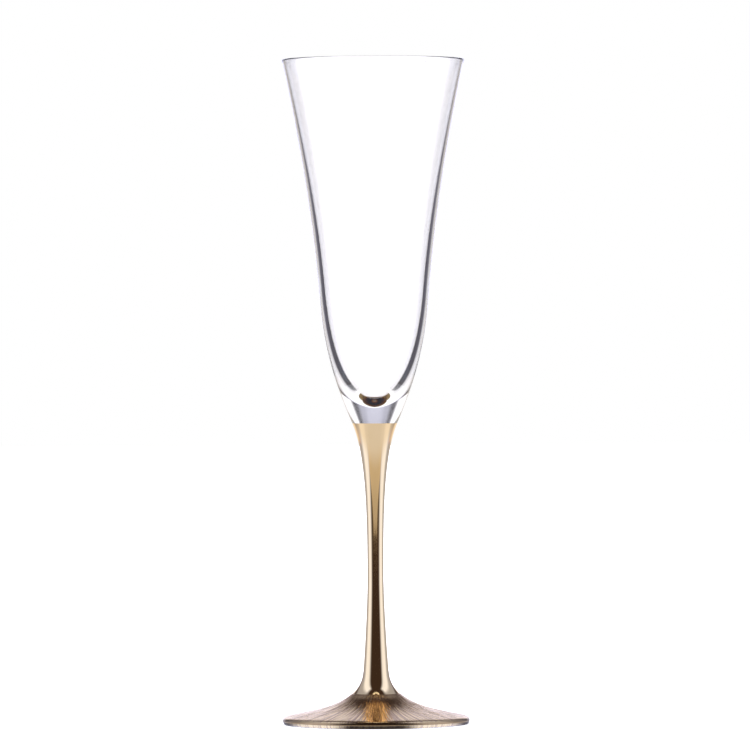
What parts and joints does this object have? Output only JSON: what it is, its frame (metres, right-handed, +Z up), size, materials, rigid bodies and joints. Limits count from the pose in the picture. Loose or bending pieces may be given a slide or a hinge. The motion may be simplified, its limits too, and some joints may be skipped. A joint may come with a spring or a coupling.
{
  "type": "champagne flute",
  "caption": "Tall stemmed drinking glass with a flared clear bowl, a solid clear base, a slender gold-coated stem and a round gold-coated foot with a hatched top.",
  "frame": {"origin": "on the table, under the middle of the foot", "axes": "+Z up along the glass's axis, from the foot to the rim"},
  "size_m": [0.0732, 0.0732, 0.26],
  "materials": {
    "clear_glass": "clear, fire-polished",
    "polished_gold": "bright polished gilding on glass",
    "hatched_gold": "gilding with fine radial hatching"
  },
  "bodies": {
    "root": {"bowl": "clear_glass", "stem": "clear_glass", "foot": "clear_glass", "stem_gilding": "polished_gold", "foot_gilding": "hatched_gold"}
  },
  "joints": []
}
